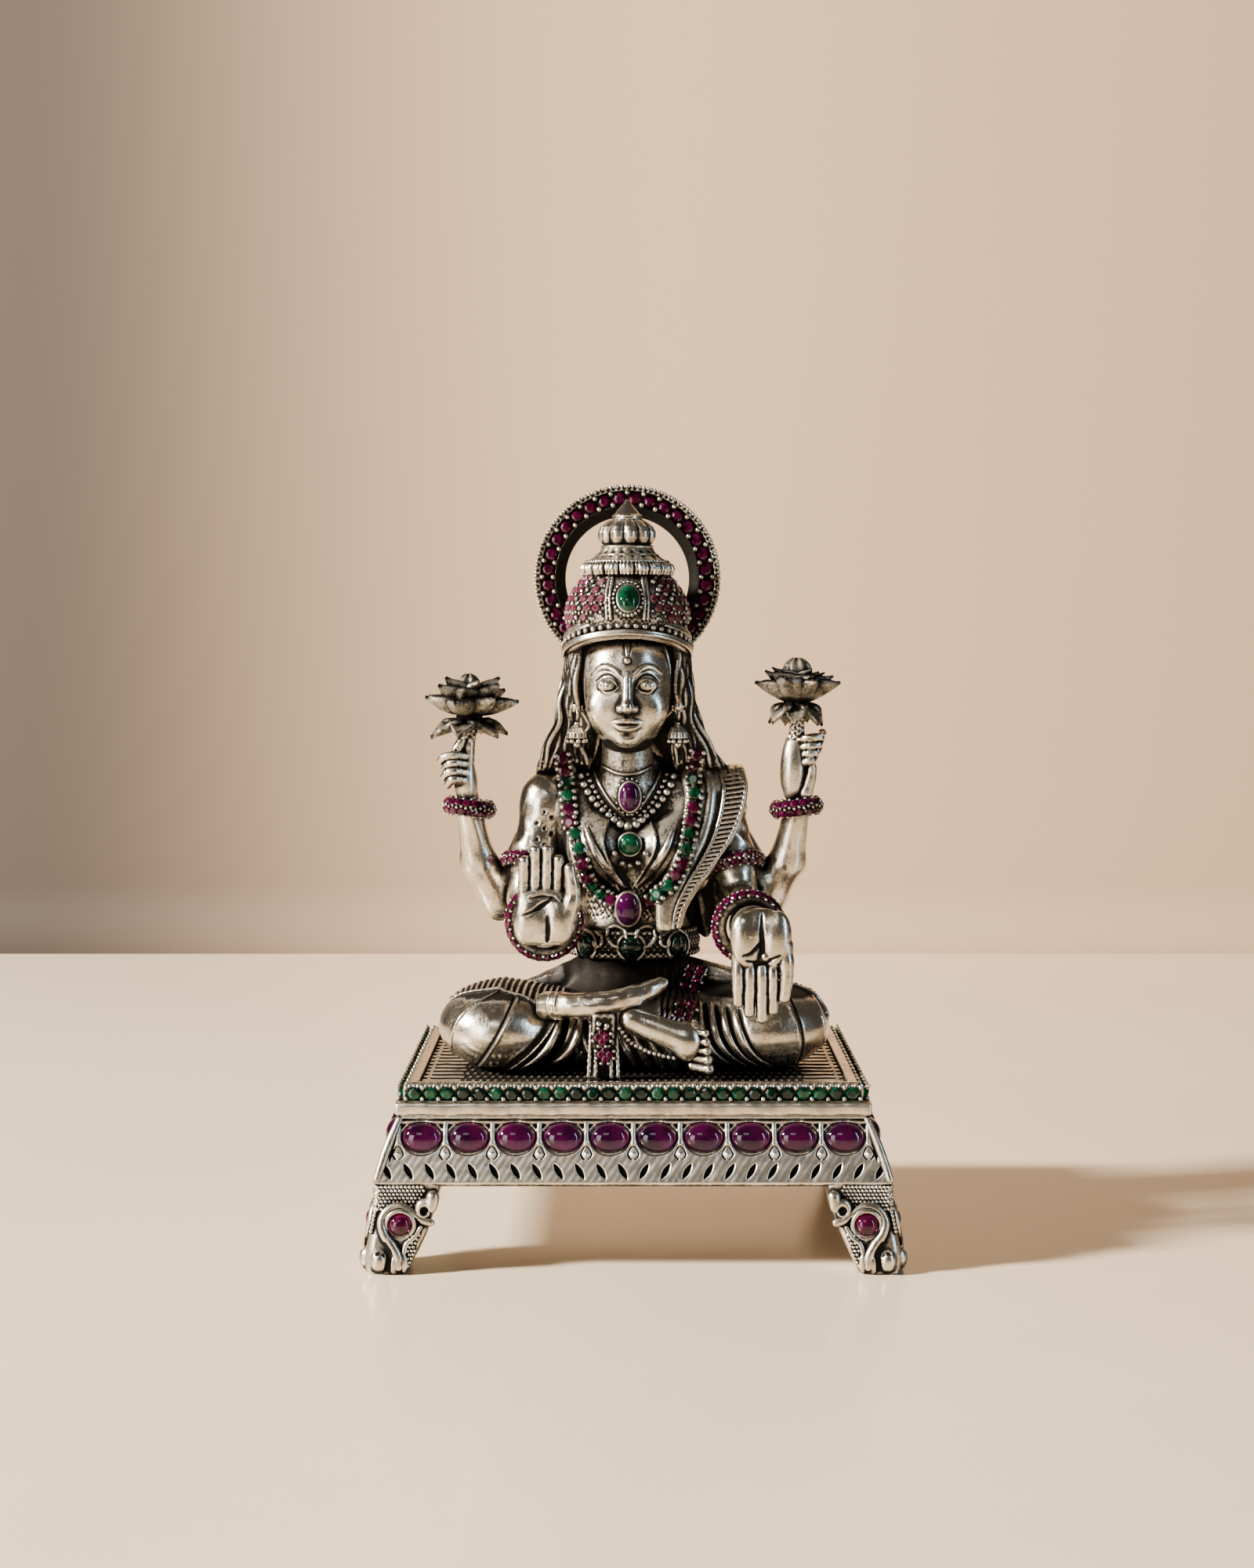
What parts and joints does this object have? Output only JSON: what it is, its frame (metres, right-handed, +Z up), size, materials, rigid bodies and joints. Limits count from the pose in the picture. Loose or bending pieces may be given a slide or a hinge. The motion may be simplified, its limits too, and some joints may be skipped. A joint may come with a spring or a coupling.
{
  "type": "hindu deity statue",
  "caption": "Seated four-armed deity in oxidised silver with set stones, holding lotuses, a halo ring behind the crown, on a jewelled stool with beast-head legs.",
  "frame": {"origin": "on the floor, under the centre of the stool", "axes": "+Z up, the figure faces -Y, +X is towards the deity's left hand"},
  "size_m": [0.0892, 0.0692, 0.1318],
  "materials": {
    "cast_silver": "cast silver, polished on the high places and oxidised in the hollows",
    "dark_silver": "oxidised silver, satin",
    "screw_steel": "plain steel",
    "amethyst": "polished cabochon",
    "emerald": "polished stone",
    "ruby": "polished stone"
  },
  "bodies": {
    "root": {"seat_slab": "cast_silver", "stone_rail": "cast_silver", "seat_sheet": "dark_silver", "apron_front": "cast_silver", "apron_back": "cast_silver", "apron_right": "cast_silver", "apron_left": "cast_silver", "leg_front_right": "cast_silver", "leg_front_left": "cast_silver", "leg_back_right": "cast_silver", "leg_back_left": "cast_silver", "apron_oval_stones": "amethyst", "rail_round_stones": "emerald", "leg_eye_stones": "ruby", "figure_screws": "screw_steel", "lap_drape": "cast_silver", "right_knee": "cast_silver", "left_knee": "cast_silver", "right_foot": "cast_silver", "left_foot": "cast_silver", "front_pleat": "cast_silver", "torso": "cast_silver", "shoulder_sash": "cast_silver", "belt": "cast_silver", "belt_stones": "emerald", "right_front_arm": "cast_silver", "right_front_hand": "cast_silver", "left_front_arm": "cast_silver", "left_front_hand": "cast_silver", "right_rear_arm": "cast_silver", "right_rear_hand": "cast_silver", "left_rear_arm": "cast_silver", "left_rear_hand": "cast_silver", "right_lotus": "cast_silver", "left_lotus": "cast_silver", "right_front_bangle": "ruby", "left_front_bangle": "ruby", "right_rear_bangle": "ruby", "left_rear_bangle": "ruby", "right_armlet": "ruby", "left_armlet": "ruby", "head": "cast_silver", "hair": "dark_silver", "right_earring": "cast_silver", "left_earring": "cast_silver", "crown_band": "cast_silver", "crown_dome": "cast_silver", "crown_canopy": "cast_silver", "crown_bulb": "cast_silver", "crown_finial": "cast_silver", "crown_oval_stone": "emerald", "halo": "dark_silver", "halo_stones": "ruby", "pearl_necklace": "cast_silver", "throat_pendant": "amethyst", "round_pendant": "emerald", "drop_pendant": "amethyst", "long_garland": "ruby"}
  },
  "joints": []
}
